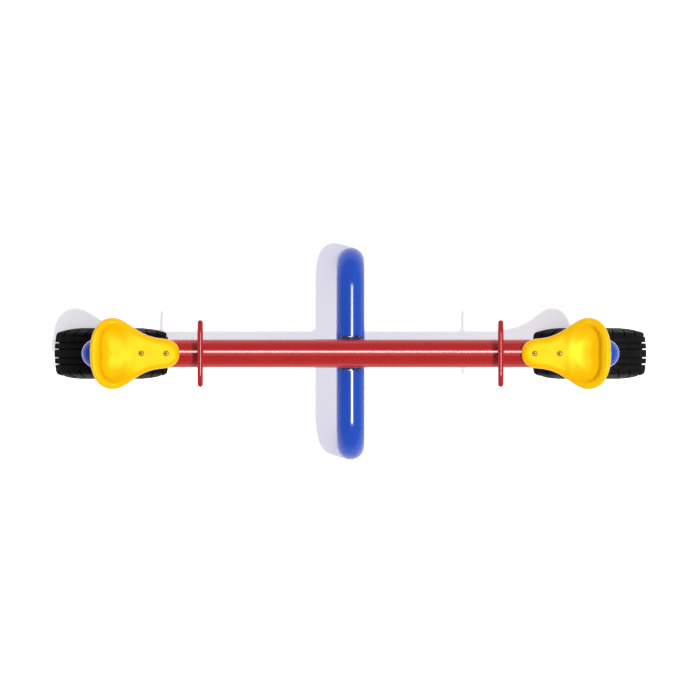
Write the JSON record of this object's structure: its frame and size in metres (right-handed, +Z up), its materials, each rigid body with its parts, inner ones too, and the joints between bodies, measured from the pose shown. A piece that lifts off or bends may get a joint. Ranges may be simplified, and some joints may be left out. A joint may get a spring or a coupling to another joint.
{
  "type": "seesaw",
  "caption": "Playground seesaw: a round beam with saddle seats and cross-bar handles tilts on a low pipe arch, over half-buried tyres.",
  "frame": {"origin": "on the ground plane, under the middle of the beam and the middle of the support arch", "axes": "+X along the level beam towards the right-hand seat, +Y along the pivot shaft, +Z up"},
  "size_m": [2.3798, 0.856, 0.6993],
  "materials": {
    "blue_powder_coat": "glossy blue powder coat on welded steel pipe",
    "red_powder_coat": "glossy red powder coat on welded steel tube",
    "yellow_plastic": "semi-gloss yellow moulded polyethylene",
    "tyre_rubber": "matt black vulcanised rubber with moulded tread",
    "black_housing": "black painted bearing housing",
    "bright_steel": "ground bright steel",
    "zinc_plate": "zinc-plated steel fasteners",
    "black_nylon": "black nylon thrust spacer"
  },
  "bodies": {
    "base": {"support_arch": "blue_powder_coat", "leg_closing_disc_front": "blue_powder_coat", "leg_closing_disc_rear": "blue_powder_coat", "pivot_lug_front": "blue_powder_coat", "pivot_lug_rear": "blue_powder_coat", "flange_bearing_front": "black_housing", "flange_bearing_rear": "black_housing", "bearing_bolt_front_left": "zinc_plate", "bearing_washer_front_left": "zinc_plate", "bearing_nut_front_left": "zinc_plate", "bearing_bolt_front_right": "zinc_plate", "bearing_washer_front_right": "zinc_plate", "bearing_nut_front_right": "zinc_plate", "bearing_bolt_rear_left": "zinc_plate", "bearing_washer_rear_left": "zinc_plate", "bearing_nut_rear_left": "zinc_plate", "bearing_bolt_rear_right": "zinc_plate", "bearing_washer_rear_right": "zinc_plate", "bearing_nut_rear_right": "zinc_plate", "tyre_left": "tyre_rubber", "tyre_right": "tyre_rubber"},
    "beam": {"beam_tube": "red_powder_coat", "beam_end_cap_left": "blue_powder_coat", "beam_end_cap_right": "blue_powder_coat", "hub_tube": "red_powder_coat", "hub_gusset_front": "red_powder_coat", "hub_gusset_rear": "red_powder_coat", "pivot_shaft": "bright_steel", "thrust_spacer_front": "black_nylon", "thrust_spacer_rear": "black_nylon", "bearing_inner_ring_front": "bright_steel", "bearing_inner_ring_rear": "bright_steel", "handle_bar_left": "red_powder_coat", "handle_stem_left": "red_powder_coat", "handle_cap_left_front": "red_powder_coat", "handle_cap_left_rear": "red_powder_coat", "seat_left": "yellow_plastic", "seat_bracket_left": "red_powder_coat", "seat_washer_left_rear": "zinc_plate", "seat_bolt_left_rear": "zinc_plate", "seat_nut_left_rear": "zinc_plate", "seat_washer_left_front": "zinc_plate", "seat_bolt_left_front": "zinc_plate", "seat_nut_left_front": "zinc_plate", "handle_bar_right": "red_powder_coat", "handle_stem_right": "red_powder_coat", "handle_cap_right_front": "red_powder_coat", "handle_cap_right_rear": "red_powder_coat", "seat_right": "yellow_plastic", "seat_bracket_right": "red_powder_coat", "seat_washer_right_rear": "zinc_plate", "seat_bolt_right_rear": "zinc_plate", "seat_nut_right_rear": "zinc_plate", "seat_washer_right_front": "zinc_plate", "seat_bolt_right_front": "zinc_plate", "seat_nut_right_front": "zinc_plate"}
  },
  "joints": [
    {"name": "beam_tilt", "type": "hinge", "parent": "base", "child": "beam", "pos_m": [0, 0, 0.4737], "axis": [0, 1, 0], "range_deg": [-22, 22]}
  ]
}
